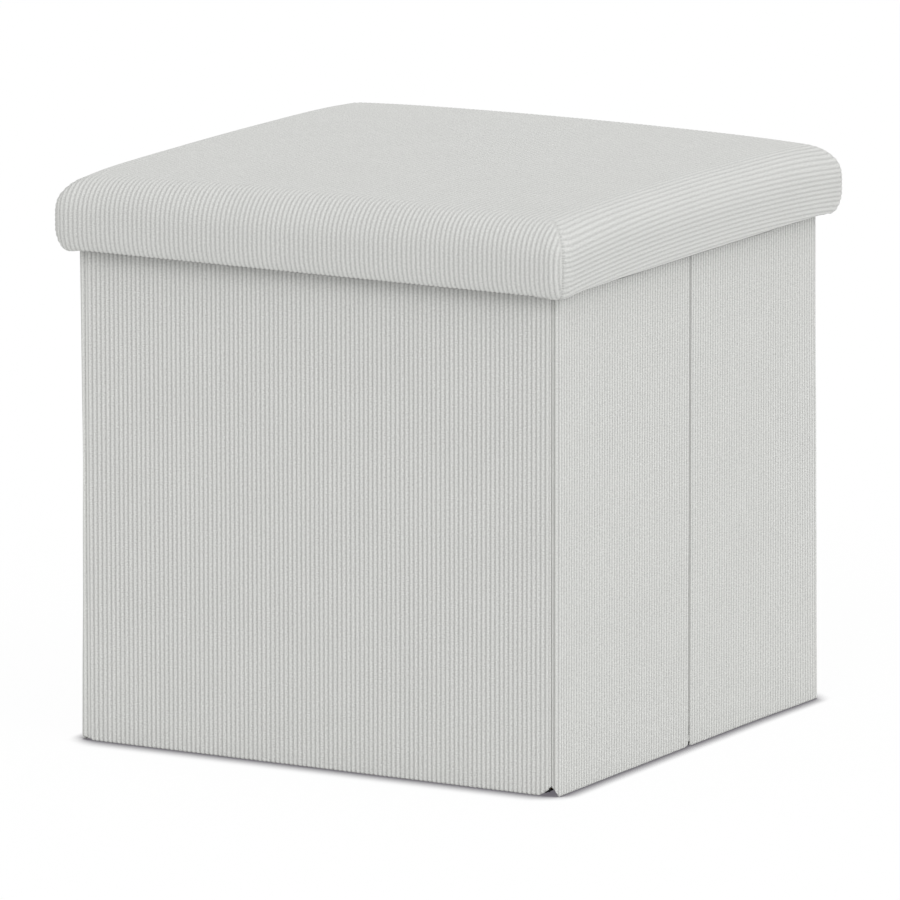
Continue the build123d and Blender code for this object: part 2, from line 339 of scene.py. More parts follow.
ends = {  # upright rounding, length of the cut lower corner, its lift at the face and at the inner edge
    "butt": {"round": 1.0, "cut": 9.0, "lift": 5.6},
    "end": {"round": 2.4, "cut": 1.5, "lift": 1.0, "inner": 5.4},
    "soft": {"round": 2.4, "cut": 3.5, "lift": 2.0, "inner": 0.8},
    "fold": {"round": 1.3, "cut": 3.0, "lift": 3.0},
    "tight": {"round": 1.0, "cut": 2.5, "lift": 1.0},
}
panels = {  # way the outer face looks, direction along it, first and last end and their kinds
    "front_wall": ((0, -1), (1, 0), -172.0, "tight", 171.9, "butt"),
    "rear_wall": ((0, 1), (-1, 0), -171.9, "butt", 171.9, "butt"),
    "right_front_wall": ((1, 0), (0, 1), -174.0, "end", -0.5, "fold"),
    "right_rear_wall": ((1, 0), (0, 1), 0.5, "fold", 174.0, "end"),
    "left_rear_wall": ((-1, 0), (0, -1), -174.0, "end", -0.5, "fold"),
    "left_front_wall": ((-1, 0), (0, -1), 0.5, "fold", 175.4, "soft"),
}
bows = {  # how far the face stands out near the last end, at levels from the floor up
    "left_front_wall": {"levels": (0, 90, 190, 326, 346), "amounts": (1.2, 0.2, -0.5, 0.8, 0.8)},
    "right_rear_wall": {"levels": (0, 120, 240, 346), "amounts": (2.4, 1.3, 0.2, -0.5)},
}


def cordCrown(phase):  # soft round cord with its furrow at phase 0 and 1
    return (0.5 - 0.5 * np.cos(2 * math.pi * np.asarray(phase))) ** walls["cordFullness"]


def wallOutline(first, firstKind, last, lastKind):
    # Points round the panel in plan: up the first end, along the outer face, down the last end, back inside.
    thick = walls["thickness"]
    endCords = walls["endCords"]
    faceCords = round((last - first) / walls["cordPitch"])
    phases = np.linspace(0, 1, walls["cordPoints"], endpoint=False)
    lengths, crowns = [], []
    runs = [(thick, endCords, 0.5, 0), (last - first, faceCords, 0, 0), (thick, endCords, 0, 0.5)]
    start = 0.0
    for length, count, skipFirst, skipLast in runs:  # the ends begin and stop on the crown of a cord
        shown = (count - skipFirst - skipLast) / count
        for cord in range(count):
            lengths += list(start + length / count * (cord + phases))
            crowns += list(cordCrown(skipFirst + (cord + phases) * shown))
        start += length
    lengths = np.array(lengths + [start])
    crowns = np.array(crowns + [1.0])

    # Turn length round the outline into place and outward direction, with rounded outer corners.
    alongAt, depthAt, outAlong, outDepth = [], [], [], []
    firstRound, lastRound = ends[firstKind]["round"], ends[lastKind]["round"]
    for length in lengths:
        if length < thick:
            corner, radius, side, along = thick - length, firstRound, -1, first
        elif length > thick + last - first:
            corner, radius, side, along = length - thick - (last - first), lastRound, 1, last
        else:
            along, depth = first + length - thick, 0.0
            side = -1 if along - first < last - along else 1
            radius = firstRound if side < 0 else lastRound
            corner = -((along - first) if side < 0 else (last - along))
        half = radius * math.pi / 4
        if -half < corner < half:  # on the rounded corner
            turn = math.pi / 4 + corner / half * math.pi / 4
            limit = first if side < 0 else last
            along = limit - side * radius + side * radius * math.sin(turn)
            depth = radius - radius * math.cos(turn)
            outAlong.append(side * math.sin(turn))
            outDepth.append(-math.cos(turn))
        elif corner >= half:  # on an end
            depth = radius + (corner - half) * (thick - radius) / (thick - half)
            outAlong.append(side)
            outDepth.append(0.0)
        else:  # on the outer face
            share = (along - first) / (last - first)
            along += (1 - math.pi / 4) * (firstRound * (1 - share) - lastRound * share)
            outAlong.append(0.0)
            outDepth.append(-1.0)
        alongAt.append(along)
        depthAt.append(depth)

    inset = walls["insideInset"]
    inside = np.linspace(last - inset, first + inset, walls["insidePoints"])
    alongAt += list(inside) + [alongAt[0]]
    depthAt += [thick - walls["liningRoom"]] * len(inside) + [depthAt[0]]
    outAlong += [0.0] * len(inside) + [outAlong[0]]
    outDepth += [1.0] * len(inside) + [outDepth[0]]
    crowns = np.concatenate([crowns, np.ones(len(inside)), crowns[:1]])
    lapped = lengths[-1:] + thick + last - first + walls["lap"]  # the last column closes on the first
    lengths = np.concatenate([lengths, lengths[-1] + thick + last - inside, lapped])
    return np.array(alongAt), np.array(depthAt), np.array(outAlong), np.array(outDepth), crowns, lengths


def wallRows():  # levels from the floor up, with how far the rolled edge stands in
    roll = walls["edgeRoll"]
    turns = np.radians(walls["rollTurns"])
    foot = [(roll - roll * math.cos(t), roll - roll * math.sin(t)) for t in turns]
    count = round((walls["height"] - 2 * roll) / walls["rowSpacing"])
    middle = [(z, 0.0) for z in np.linspace(roll, walls["height"] - roll, count + 1)]
    top = [(walls["height"] - z, inset) for z, inset in reversed(foot)]
    return np.array(foot + middle + top)


def makeWallCover(name, outward, direction, first, firstKind, last, lastKind, seed):
    along, depth, outAlong, outDepth, crowns, lengths = wallOutline(first, firstKind, last, lastKind)
    rows = wallRows()
    piece, column, row = addGrid(name + "_corduroy", len(along), len(rows))
    level, inset = rows[row, 0], rows[row, 1]

    # Lower corners lift where the cover is tucked up at an end.
    thick = walls["thickness"]
    lift = np.zeros(len(along))
    leaning = np.zeros(len(along))
    for limit, kind, side in ((first, firstKind, -1), (last, lastKind, 1)):
        end = ends[kind]
        gap = np.clip((limit - along) * side, 0, end["cut"])
        lift = np.maximum(lift, end["lift"] * (1 - gap / end["cut"]) ** walls["liftCurve"])
        if "inner" in end:
            onEnd = np.abs(limit - along) < walls["endWithin"]
            inward = rising(depth, walls["endFlat"], thick - walls["endFlat"])
            lift = np.where(onEnd, end["lift"] + (end["inner"] - end["lift"]) * inward, lift)
            leaning = np.where(onEnd, walls["endLean"] * (depth / thick) ** 2, leaning)
    lifted = level + lift[column] * falling(level, 0, walls["liftHeight"])

    # Cords wander a little and the wadding under them is never quite even.
    onFace = np.clip(-outDepth, 0, 1)[column]
    shortWave, longWave = walls["wobbleLengths"]
    sway = walls["wobble"] * slowNoise(along, 0.0, shortWave, seed)[column]
    longSway = walls["wobble"] * slowNoise(along, 0.0, longWave, seed + 3)[column]
    sway = (sway + longSway * np.sin(level / walls["wobbleHeight"])) * onFace
    swell = walls["swell"] * (1 + slowNoise(along[column], level, walls["swellLength"], seed + 11)) * onFace
    if name in bows:
        nearEnd = np.exp(-((last - along[column]) / walls["bowLength"]) ** 2)
        swell = swell - nearEnd * onFace * np.interp(level, bows[name]["levels"], bows[name]["amounts"])
    sunk = inset + walls["cordHeight"] * (1 - crowns[column]) + swell + leaning[column]

    alongPlace = along[column] + sway - outAlong[column] * sunk
    depthPlace = depth[column] - outDepth[column] * sunk
    reach = walls["halfDepth"] if outward[0] == 0 else walls["halfWidth"]
    x = outward[0] * (reach - depthPlace) + direction[0] * alongPlace
    y = outward[1] * (reach - depthPlace) + direction[1] * alongPlace
    placePoints(piece, np.stack([x, y, lifted], 1))
    keepCordPlace(piece, lengths[column] + seed * walls["patternShift"], lifted, crowns[column])
    closeUp(piece)
    setMaterial(piece, wallCorduroy)
    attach(piece, name)
    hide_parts(name + "_cover")


for seed, (name, panel) in enumerate(panels.items()):
    makeWallCover(name, *panel, seed=seed + 1)
print("wall covers made")


# Linings: black non-woven sheets stretched over the inside of each panel and round the base board

lining = {
    "thickness": 0.6, "spacing": 12.0, "fewest": 6,
    "gap": 0.05, "ripple": 0.12, "rippleLength": 30.0,  # below the face of the solid that it stands for
}


def makeLining(name, node, facing, body, seed):
    low, high = (np.array(corner) * 1000 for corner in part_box(node))
    axis = int(np.argmax(np.abs(facing)))
    flat = [a for a in (0, 1, 2) if a != axis]
    sizes = (high - low)[flat]
    counts = [max(lining["fewest"], round(size / lining["spacing"])) for size in sizes]
    piece, column, row = addGrid(name, counts[0] + 1, counts[1] + 1)
    places = np.zeros((len(column), 3))
    u, v = column / counts[0], row / counts[1]
    places[:, flat[0]] = low[flat[0]] + sizes[0] * u
    places[:, flat[1]] = low[flat[1]] + sizes[1] * v
    face = high[axis] if facing[axis] > 0 else low[axis]
    wave = slowNoise(u * sizes[0], v * sizes[1], lining["rippleLength"], seed)
    dip = lining["ripple"] * (0.5 + 0.5 * wave)
    places[:, axis] = face - np.sign(facing[axis]) * (lining["gap"] + dip)
    placePoints(piece, places)
    closeUp(piece, fill=False)
    thicken(piece, lining["thickness"])
    shift = -np.sign(facing[axis]) * lining["thickness"] / 2000
    for vertex in piece.data.vertices:
        vertex.co[axis] += shift
    setMaterial(piece, nonWoven)
    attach(piece, body)
    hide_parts(node)


for seed, (name, panel) in enumerate(panels.items()):
    inward = (-panel[0][0], -panel[0][1], 0)
    makeLining(name + "_lining_cloth", name + "_lining", inward, name, seed + 21)
makeLining("base_cloth_over", "base_cloth_top", (0, 0, 1), "base", 31)
makeLining("base_cloth_under", "base_cloth_underside", (0, 0, -1), "base", 32)
print("linings made")


# Seam tapes: cloth that joins the panels inside the corners and across the folds

tapes = {
    "thickness": 0.4, "low": 8.0, "high": 338.0, "levels": 24,
    "cornerLeg": 14.5, "cornerLegSteps": (1, 0.75, 0.5, 0.25, 0.08),
    "cornerX": 171.75, "cornerY": 169.75,  # on the linings of the two walls
    "cornerBend": [(170.55, 169.73), (171.0, 169.65), (171.4, 169.35), (171.65, 169.0), (171.74, 168.55)],
    "cornerFrom": (170.3, 169.7), "cornerTo": (171.7, 168.3),  # the tape bends between these two places
    "openPoints": 9,  # the opened corner's tape stops here, on the front wall
    "foldLeg": 4.8, "foldLegSteps": (1, 0.6, 0.3, 0.1), "foldX": 177.0, "foldGap": 0.27,
    "foldBend": [(177.25, 0.2), (177.4, 0.0), (177.25, -0.2)],
    "foldZone": (177.3, 0.06),  # the tape bends within this of the fold line
}
cornerTapes = {  # side and end of the box, and the walls that the tape joins
    "front_right_seam": (1, -1, ("front_wall", "right_front_wall")),
    "rear_right_seam": (1, 1, ("rear_wall", "right_rear_wall")),
    "rear_left_seam": (-1, 1, ("rear_wall", "left_rear_wall")),
    "front_left_seam": (-1, -1, ("front_wall",)),
}
foldTapes = {
    "right_mid_seam": (1, ("right_rear_wall", "right_front_wall")),
    "left_mid_seam": (-1, ("left_rear_wall", "left_front_wall")),
}


def makeTape(name, path, node, bodies, material):
    piece, column, row = addGrid(name, len(path), tapes["levels"] + 1)
    path = np.array(path)
    level = tapes["low"] + (tapes["high"] - tapes["low"]) * row / tapes["levels"]
    placePoints(piece, np.stack([path[column, 0], path[column, 1], level], 1))
    steps = np.concatenate([[0], np.cumsum(np.hypot(*np.diff(path, axis=0).T))])
    keepCordPlace(piece, steps[column], level, np.zeros(len(column)))
    closeUp(piece, fill=False)
    thicken(piece, tapes["thickness"])
    setMaterial(piece, material)
    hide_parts(node)
    if len(bodies) == 2:
        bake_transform(piece)
    else:
        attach(piece, bodies[0])


def cornerPath(sideX, sideY):  # from the front or rear wall round the fold line to the side wall
    leg, steps = tapes["cornerLeg"], tapes["cornerLegSteps"]
    points = [(tapes["cornerFrom"][0] - leg * t, tapes["cornerY"]) for t in steps]
    points += tapes["cornerBend"]
    points += [(tapes["cornerX"], tapes["cornerTo"][1] - leg * t) for t in reversed(steps)]
    return [(sideX * x, sideY * y) for x, y in points]


def foldPath(sideX):  # up the end of the rear half, over the fold line and down the end of the front half
    leg, steps = tapes["foldLeg"], tapes["foldLegSteps"]
    points = [(tapes["foldX"] - leg * t, tapes["foldGap"]) for t in steps]
    points += tapes["foldBend"]
    points += [(tapes["foldX"] - leg * t, -tapes["foldGap"]) for t in reversed(steps)]
    return [(sideX * x, y) for x, y in points]


for node, (sideX, sideY, bodies) in cornerTapes.items():
    path = cornerPath(sideX, sideY)
    if len(bodies) == 1:
        path = path[:tapes["openPoints"]]
    makeTape(node + "_tape", path, node, bodies,
             nonWoven)
# The tapes in the folds carry crown 0, the furrow colour, as painted shade in the gap of each fold.
for node, (sideX, bodies) in foldTapes.items():
    makeTape(node + "_tape", foldPath(sideX), node, bodies,
             wallCorduroy)
print("seam tapes made")


# Lid cover: one piece of corduroy over the foam, sewn at the corners and turned up inside the rails

lid = {  # sizes in mm
    "half": 191.8, "top": 378.5, "bottom": 326.0,
    "topReach": 23.8, "topDrop": 27.0,  # rounding from the top into the sides
    "footReach": 6.0, "footRise": 16.0,  # rounding of the lower edge
    "hemInsideX": 181.55, "hemInsideY": 179.55, "hemTurn": 1.0, "hemTop": 339.0,
    "hemDrop": 0.5, "hemStep": 0.4, "railStep": 0.1,  # how the end of the hem turns to the rail
    "railInsideX": 182.75, "railInsideY": 180.75, "capLevel": 347.06,
    "profilePoints": {"top": 60, "edge": 28, "side": 5, "foot": 24, "under": 3, "turn": 5, "hem": 6},

    "crownRadius": 6000.0, "frontRise": 0.004, "cornerSag": 2.5, "sagCurve": 5,
    "crownFoot": 8.0,  # the crown dies out this far above the lower edge
    "seamStart": 168.0, "cornerRound": 13.0, "cornerGrow": 24.0,  # rounding that grows down a corner seam
    "least": 0.01,  # smallest rounding, and how far past a seam still counts as on it
    "cornerFill": 1.5, "fillLength": 40.0,  # fuller roll towards the upper corners
    "fillStart": 60.0, "fillOver": 60.0, "fillEnd": 184.0, "fillFall": 40.0,
    "fillLeast": 0.3, "fillMost": 1.5, "rearFill": 0.5,  # the rear edge keeps its arch
    "cornerPull": 1.6, "pullReach": 7.0, "pullRise": 14.0, "pullAfter": 20.0,  # lower corners drawn down
    "sideRise": 1.7, "riseHeight": 24.0, "riseCurve": 6,  # lower edge of the sides drawn up between them
    "riseStart": 1.0, "riseOver": 3.0,

    "cordPitch": 3.455, "cordHeight": 0.5, "cordPhases": (0.0, 0.13, 0.37, 0.5, 0.63, 0.87),
    "lastGap": 0.05, "lastCrown": 0.5,  # where the cloth is cut, part way across a cord
    "cordArch": 7.0, "archWidth": 165.0,  # how far the cords of the sides fall towards the corners
    "archStart": 25.0, "archEnd": 26.0,
    "cordSway": 0.3, "swayLengths": (30.0, 60.0), "clothSway": 0.35, "clothLength": 90.0,
    "swayFade": 0.15, "flapSwayFade": 12.0,
    "rowSpacing": 8.5, "edgeRows": (7.0, 5.0, 3.6, 2.6, 1.7, 0.8, 0.0),  # rows close up towards the seam
    "apexRows": (0.0, 0.4, 0.8, 1.2), "rollRows": (1.7, 34.0, 16), "sideRows": (62.0, 9),
    "hemRows": (9.0, 14), "lastRows": (8.0, 7.9, 0.0),
    "patternStart": 3000.0,  # the lid is cut from another part of the cloth than the walls

    "seamDepth": 0.3, "seamWidth": 2.0, "seamTone": 0.6, "seamBlend": 1.6, "seamFade": 1.5, "flapFade": 8.0,
    "stitchGapShade": 0.0, "stitchDepth": 0.8, "stitchShare": 0.05, "stitchAfter": 4.0,
    "stitchRows": (0.993, 0.999),
    "topTone": 0.66, "topBand": 4.0, "topEven": 0.6, "sideLightEven": 0.3,  # furrows evened out on the top, and by painted light on the sides
    "footPaintedLight": 0.6,  # painted light: the lower edge is lighter where it faces down
    "shadeStripTone": -3.0, "shadeStripFacing": 0.97, "shadeStripInset": 1.0, "shadeStripEnd": 16.0,  # painted shade: a dark strip under the rim
}


def lidSag(x, y):  # how far the crown has fallen at a place on the lid
    sag = (x ** 2 + y ** 2) / (2 * lid["crownRadius"]) + lid["frontRise"] * y
    return sag + lid["cornerSag"] * (np.abs(x * y) / lid["half"] ** 2) ** lid["sagCurve"]


def crownShare(level):  # how much of the crown's fall a level of the cover takes part in
    foot = lid["bottom"] + lid["crownFoot"]
    return rising(level, foot, lid["top"] - foot)


def lidProfile(hemInside, railInside):  # from the middle of the top over the edge, down and up inside
    half, top, bottom = lid["half"], lid["top"], lid["bottom"]
    reach, drop, footReach, footRise = lid["topReach"], lid["topDrop"], lid["footReach"], lid["footRise"]
    turn, hemTop = lid["hemTurn"], lid["hemTop"]
    count = lid["profilePoints"]
    points = [(x, top) for x in np.linspace(0, half - reach, count["top"])]
    points += [(half - reach + reach * math.sin(a), top - drop + drop * math.cos(a))
               for a in np.linspace(0, math.pi / 2, count["edge"])[1:]]
    points += [(half, z) for z in np.linspace(top - drop, bottom + footRise, count["side"])[1:]]
    points += [(half - footReach + footReach * math.cos(a), bottom + footRise - footRise * math.sin(a))
               for a in np.linspace(0, math.pi / 2, count["foot"])[1:]]
    points += [(x, bottom) for x in np.linspace(half - footReach, hemInside + turn, count["under"])[1:]]
    points += [(hemInside + turn - turn * math.sin(a), bottom + turn - turn * math.cos(a))
               for a in np.linspace(0, math.pi / 2, count["turn"])[1:]]
    points += [(hemInside, z)
               for z in np.linspace(bottom + turn, hemTop - lid["hemDrop"], count["hem"])[1:]]
    points += [(hemInside + lid["hemStep"], hemTop), (railInside, hemTop + lid["railStep"])]
    points += [(railInside, lid["capLevel"])]
    points = np.array(points)
    steps = np.concatenate([[0], np.cumsum(np.hypot(*np.diff(points, axis=0).T))])
    slopes = np.gradient(points, steps, axis=0)
    slopes = slopes / np.linalg.norm(slopes, axis=1)[:, None]
    return steps, points, np.stack([-slopes[:, 1], slopes[:, 0]], 1)


def alongProfile(profile, length):  # place across, level and outward direction at a length from the middle
    steps, points, outwards = profile
    reach = np.interp(length, steps, points[:, 0])
    level = np.interp(length, steps, points[:, 1])
    out = np.stack([np.interp(length, steps, outwards[:, 0]), np.interp(length, steps, outwards[:, 1])], -1)
    return reach, level, out / np.linalg.norm(out, axis=-1, keepdims=True)


def seamLimit(reach, length):  # how far a side runs to its corner seam, and how round that corner is there
    grown = rising(length, lid["seamStart"], lid["cornerGrow"])
    radius = lid["cornerRound"] * grown * grown * (3 - 2 * grown) + lid["least"]
    limit = np.where(length < lid["seamStart"], lid["seamStart"], reach - radius + radius * math.pi / 4)
    return limit, radius


def lidFullness(length, sideways, rear):  # how much the roll is filled out at a place
    onRoll = np.sin(math.pi * rising(length, lid["seamStart"], lid["fillLength"])) ** 2
    fuller = np.clip((lid["fillEnd"] - sideways) / lid["fillFall"], lid["fillLeast"], 1)
    fuller = fuller * rising(sideways, lid["fillStart"], lid["fillOver"])
    if rear:
        fuller = fuller * lid["rearFill"]
    atCorner = rising(sideways, lid["seamStart"], lid["fillEnd"] - lid["seamStart"]) ** 2
    return lid["cornerFill"] * onRoll * (fuller + (lid["fillMost"] - fuller) * atCorner)


def lidSurface(profile, length, sideways, crown, sign, alongX):
    # A point of the cover at a length down the profile and a way sideways along that edge of the lid.
    start = lid["seamStart"]
    length = np.abs(length)
    reach, level, out = alongProfile(profile, length)
    limit, radius = seamLimit(reach, length)
    apexCrown = cordCrown(start / lid["cordPitch"] % 1)
    crown = np.where(np.abs(sideways) > limit + lid["least"], apexCrown, crown)
    sideways = np.clip(sideways, -limit, limit)
    side, offset = np.sign(sideways), np.abs(sideways)
    toSeam = limit - offset
    beyond = np.clip(offset - (reach - radius), 0, None) / radius  # angle round the corner
    beyond = np.where(length < start, 0, beyond)
    place = np.where(beyond > 0, reach - radius + radius * np.sin(beyond), offset) * side
    tuck = radius * (1 - np.cos(beyond))

    # Cords stand up from the cloth and die out at the seam, which is drawn in.
    onFlap = rising(length, start, lid["flapFade"])
    groove = falling(toSeam, 0, lid["seamWidth"]) ** 2 * onFlap
    atSeam = falling(toSeam, 0, lid["seamBlend"]) * rising(length, start, lid["seamFade"])
    ridge = crown * (1 - atSeam)
    sunk = lid["cordHeight"] * (1 - ridge) + lid["seamDepth"] * groove
    sunk = sunk - lidFullness(length, offset, not alongX and sign > 0)

    across = reach - tuck - out[:, 0] * sunk * np.cos(beyond)
    place = place - side * out[:, 0] * sunk * np.sin(beyond)
    x, y = (sign * across, place) if alongX else (place, sign * across)
    rise = level - out[:, 1] * sunk - lidSag(x, y) * crownShare(level)
    low = falling(level, lid["bottom"], lid["pullRise"]) * (length > start + lid["pullAfter"])
    rise = rise - lid["cornerPull"] * low * np.exp(-(toSeam / lid["pullReach"]) ** 2)
    if alongX:
        shown = rising(reach, lid["hemInsideX"] + lid["riseStart"], lid["riseOver"])
        shown = shown * falling(level, lid["bottom"], lid["riseHeight"])
        between = 1 - np.clip(np.abs(place) / lid["half"], 0, 1) ** lid["riseCurve"]
        rise = rise + lid["sideRise"] * shown * between

    # Furrows are evened out on the top, and by painted light on the sides; painted light on the lower edge,
    # painted shade under the rim.
    tone = ridge + lid["seamTone"] * atSeam
    even = lid["topEven"] * rising(level, lid["top"] - lid["topBand"], lid["topBand"])
    if alongX:
        even = np.maximum(even, lid["sideLightEven"] * onFlap)
    tone = tone + (lid["topTone"] - tone) * even
    facesDown = np.clip(-out[:, 1], 0, 1)
    # Painted light: lighter where the cover faces down round the lower edge.
    tone = tone + lid["footPaintedLight"] * facesDown
    # Painted shade: a dark strip on the flat underside of the rim, short of the corners.
    shadeStripEdge = lid["half"] - lid["footReach"] - (lid["shadeStripInset"] if alongX else 0)
    paintedShadeUnder = (facesDown > lid["shadeStripFacing"]) & (reach <= shadeStripEdge) & (toSeam > lid["shadeStripEnd"])
    tone = np.where(paintedShadeUnder, lid["shadeStripTone"], tone)
    return np.stack([x, y, rise], 1), tone


def lidCords(limit):  # lengths to each side of the middle, six to a cord, with their crown
    phases = np.array(lid["cordPhases"])
    count = int(limit // lid["cordPitch"])
    lengths = np.array([lid["cordPitch"] * (cord + phase) for cord in range(count + 1) for phase in phases])
    crowns = np.tile(cordCrown(phases), count + 1)
    keep = lengths < limit - lid["lastGap"]
    lengths = np.append(lengths[keep], limit)
    crowns = np.append(crowns[keep], lid["lastCrown"])
    return np.concatenate([-lengths[:0:-1], lengths]), np.concatenate([crowns[:0:-1], crowns])


def makeLidStrip(profile):  # the top with the two sides, cords running front to rear
    start, last = lid["seamStart"], profile[0][-1]
    lengths, crowns = lidCords(last)
    inner = np.arange(0, start - lid["edgeRows"][0], lid["rowSpacing"])
    rows = np.concatenate([inner, start - np.array(lid["edgeRows"])])
    rows = np.concatenate([-rows[:0:-1], rows]) / start
    piece, column, row = addGrid("lid_top_strip", len(lengths), len(rows))
    share = rows[row]

    # Cords of the sides arch down towards the corners, by what the crown's own fall leaves.
    length = lengths[column]
    reach, level, _ = alongProfile(profile, np.abs(length))
    sideways = share * seamLimit(reach, np.abs(length))[0]
    fallen = (lidSag(reach, sideways) - lidSag(reach, 0)) * crownShare(level)
    pulled = np.clip(lid["cordArch"] * (sideways / lid["archWidth"]) ** 2 - fallen, 0, None)
    pulled = pulled * rising(np.abs(length), start, lid["archStart"])
    pulled = pulled * falling(np.abs(length), last - lid["archEnd"], lid["archEnd"])
    length = length + np.sign(length) * pulled

    reach, _, out = alongProfile(profile, np.abs(length))
    sideways = share * seamLimit(reach, np.abs(length))[0]
    sway = lid["cordSway"] * slowNoise(lengths, 0.0, lid["swayLengths"][0], 41)[column]
    sway = sway + lid["clothSway"] * slowNoise(length, sideways, lid["clothLength"], 43)
    sway = sway * np.clip(1 - np.abs(share), 0, lid["swayFade"]) / lid["swayFade"]
    sign = np.sign(length + 1e-9)  # the middle counts as right
    places, tone = lidSurface(profile, length + sway, sideways, crowns[column], sign, True)

    # Two stitches to a cord: a dark point in the seam, painted shade for a gap between the cords, and a
    # small pit beside it.
    phase = np.abs(lengths[column]) / lid["cordPitch"] * 2 % 1
    stitch = np.minimum(phase, 1 - phase) < lid["stitchShare"]
    stitch = stitch & (np.abs(share) > lid["stitchRows"][0]) & (np.abs(length) > start + lid["stitchAfter"])
    tone = np.where(stitch, lid["stitchGapShade"], tone)
    pit = stitch & (np.abs(share) < lid["stitchRows"][1])
    outward = np.stack([np.sign(length) * out[:, 0], np.zeros(len(length)), out[:, 1]], 1)
    placePoints(piece, places - outward * lid["stitchDepth"] * pit[:, None])
    keepCordPlace(piece, lengths[column] + lid["patternStart"], sideways, tone)
    return piece


def makeLidFlap(name, profile, sign):  # front or rear flap, whose cords carry on from the top
    start, last = lid["seamStart"], profile[0][-1]
    cords, crowns = lidCords(lid["half"])
    rollStart, rollEnd, rollCount = lid["rollRows"]
    sideEnd, sideCount = lid["sideRows"]
    hemLeft, hemCount = lid["hemRows"]
    down = np.concatenate([start + np.array(lid["apexRows"]),
                           np.linspace(start + rollStart, start + rollEnd, rollCount),
                           np.linspace(start + rollEnd, start + sideEnd, sideCount)[1:],
                           np.linspace(start + sideEnd, last - hemLeft, hemCount)[1:],
                           last - np.array(lid["lastRows"])])
    piece, column, row = addGrid(name, len(cords), len(down))
    length = down[row]
    sideways = cords[column]
    sway = lid["cordSway"] * slowNoise(sideways, length, lid["swayLengths"][1], 47)
    sway = sway * rising(length, start, lid["flapSwayFade"])
    places, tone = lidSurface(profile, length, sideways + sway, crowns[column], sign, False)
    placePoints(piece, places)
    keepCordPlace(piece, sideways + lid["patternStart"], length * sign, tone)
    return piece


def makeLidCover():
    overSides = lidProfile(lid["hemInsideX"], lid["railInsideX"])
    overEnds = lidProfile(lid["hemInsideY"], lid["railInsideY"])
    cover = makeLidStrip(overSides)
    flaps = [makeLidFlap("lid_front_flap", overEnds, -1), makeLidFlap("lid_rear_flap", overEnds, 1)]
    selectOnly(cover)
    for flap in flaps:
        flap.select_set(True)
    bpy.ops.object.join()
    cover.name = "lid_corduroy"
    cover.data.name = "lid_corduroy"
    closeUp(cover, merge=0.00004, fill=False)
    setMaterial(cover, lidCorduroy)
    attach(cover, "lid")
    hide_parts("lid_cover")
    print("lid cover made,", len(cover.data.polygons), "faces")


makeLidCover()


# Lid foam and lining

foam = {
    "half": 186.0, "bottom": 352.2, "top": 374.5, "round": 17.0, "cuts": 16,
    "edgeFall": 0.85, "coverRoom": 1.2,  # share of the rounding at the upper edge, gap under the cover
}


def makeLidFoam():
    bpy.ops.object.select_all(action="DESELECT")
    tall = foam["top"] - foam["bottom"]
    bpy.ops.mesh.primitive_cube_add(size=1, location=(0, 0, (foam["bottom"] + tall / 2) / 1000))
    piece = bpy.context.active_object
    piece.name = "lid_foam_pad"
    piece.scale = (2 * foam["half"] / 1000, 2 * foam["half"] / 1000, tall / 1000)
    bpy.ops.object.transform_apply(location=True, rotation=True, scale=True)
    bpy.ops.object.mode_set(mode="EDIT")
    bpy.ops.mesh.select_all(action="SELECT")
    bpy.ops.mesh.subdivide(number_cuts=foam["cuts"])
    bpy.ops.object.mode_set(mode="OBJECT")
    flat = foam["half"] - foam["round"]
    for vertex in piece.data.vertices:
        x, y, z = (c * 1000 for c in vertex.co)
        pastX, pastY = abs(x) - flat, abs(y) - flat
        if pastX > 0 and pastY > 0:  # upright corners are round
            inward = max(pastX, pastY) / math.hypot(pastX, pastY)
            x = math.copysign(flat + pastX * inward, x)
            y = math.copysign(flat + pastY * inward, y)
            vertex.co.x, vertex.co.y = x / 1000, y / 1000
        share = (z - foam["bottom"]) / tall
        edge = max(0.0, max(abs(x), abs(y)) - flat)
        drop = foam["round"] - math.sqrt(max(0.0, foam["round"] ** 2 - edge ** 2))
        height = tall - lidSag(x, y) - drop * foam["edgeFall"] - foam["coverRoom"]
        vertex.co.z = (foam["bottom"] + height * share) / 1000
    closeUp(piece, fill=False)
    setMaterial(piece, foamCream)
    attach(piece, "lid")
    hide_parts("lid_foam")


tray = {
    "insideX": 182.5, "insideY": 180.5, "low": 339.2, "high": 346.6, "thickness": 0.5,
    "spacing": 14.0, "edgeSteps": (1, 0.66, 0.33), "sag": 0.12, "sagLength": 40.0,
}


def makeLidLining():  # a flat sheet under the board with its edges turned down inside the rails
    down = tray["high"] - tray["low"]
    flatX, flatY = tray["insideX"], tray["insideY"]
    countX, countY = round(2 * flatX / tray["spacing"]), round(2 * flatY / tray["spacing"])
    edge = down * np.array(tray["edgeSteps"])
    xs = np.concatenate([-flatX - edge, np.linspace(-flatX, flatX, countX + 1), (flatX + edge)[::-1]])
    ys = np.concatenate([-flatY - edge, np.linspace(-flatY, flatY, countY + 1), (flatY + edge)[::-1]])
    piece, column, row = addGrid("lid_lining_cloth", len(xs), len(ys))
    x, y = xs[column], ys[row]
    over = np.maximum(np.clip(np.abs(x) - flatX, 0, None), np.clip(np.abs(y) - flatY, 0, None))
    sag = tray["sag"] * (1 + slowNoise(x, y, tray["sagLength"], 51))
    level = tray["high"] - over - sag * (over == 0)
    placePoints(piece, np.stack([np.clip(x, -flatX, flatX), np.clip(y, -flatY, flatY), level], 1))
    closeUp(piece, merge=0.0001, fill=False)
    thicken(piece, tray["thickness"])
    setMaterial(piece, nonWoven)
    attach(piece, "lid")
    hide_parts("lid_lining")


makeLidFoam()
makeLidLining()
print("lid foam and lining made")


# Finishes of the boards, rails and staples that stay as they are

